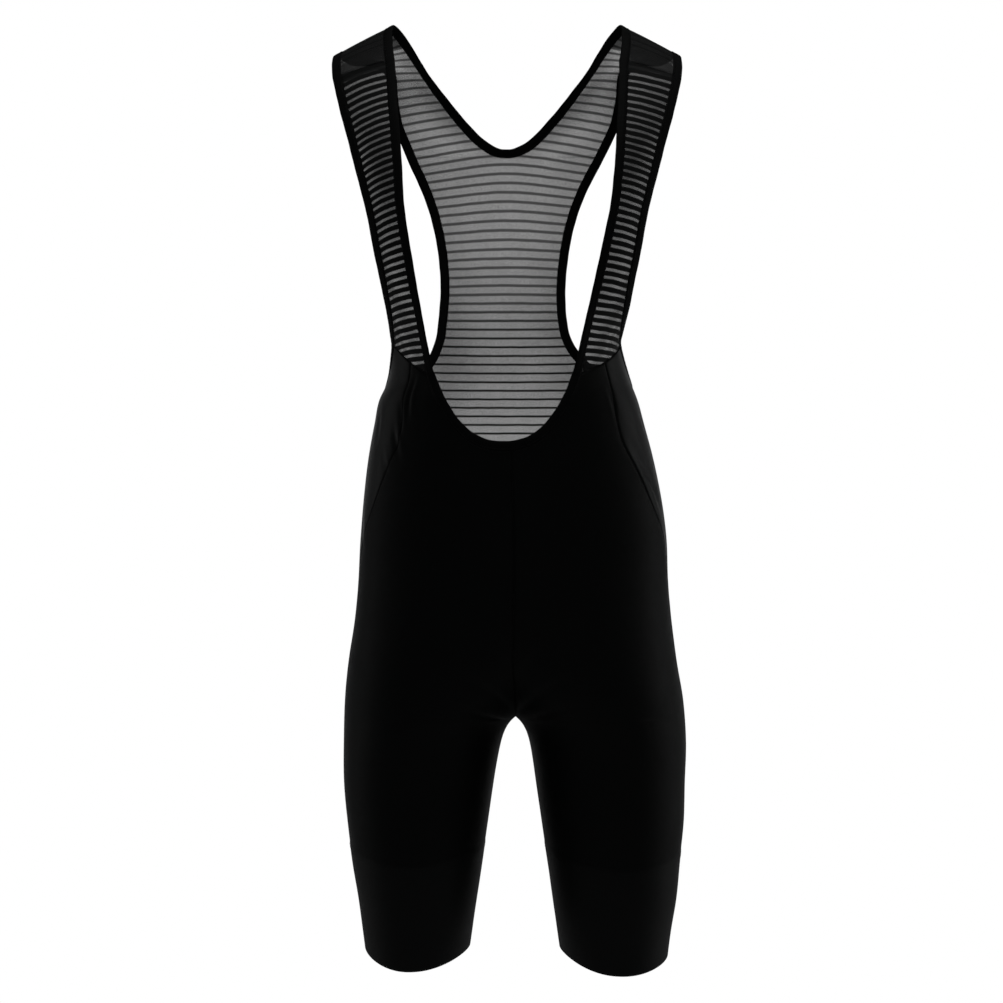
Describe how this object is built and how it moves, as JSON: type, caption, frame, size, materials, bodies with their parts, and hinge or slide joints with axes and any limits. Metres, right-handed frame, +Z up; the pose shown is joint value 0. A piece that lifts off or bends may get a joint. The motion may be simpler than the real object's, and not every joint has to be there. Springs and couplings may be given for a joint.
{
  "type": "cycling bib shorts",
  "caption": "Men's cycling bib shorts filled out as worn: stretch shorts, striped mesh straps and racer back, bound neckline and armholes.",
  "frame": {"origin": "midway between the wearer's shoulders, at the height where the straps lie on them", "axes": "+Z up, the front faces -Y, +X to the wearer's left"},
  "size_m": [0.3602, 0.2387, 0.9595],
  "materials": {
    "lycra": "matt black stretch knit",
    "shiny_lycra": "black stretch knit with a sheen",
    "striped_mesh": "sheer black mesh with close dark stripes",
    "binding": "matt black elastic tape"
  },
  "bodies": {
    "root": {"front_left": "lycra", "front_right": "lycra", "side_left": "shiny_lycra", "side_right": "shiny_lycra", "back_left": "lycra", "back_right": "lycra", "strap_left": "striped_mesh", "strap_right": "striped_mesh", "back_mesh": "striped_mesh", "neck_binding": "binding", "armhole_binding_left": "binding", "armhole_binding_right": "binding"}
  },
  "joints": []
}
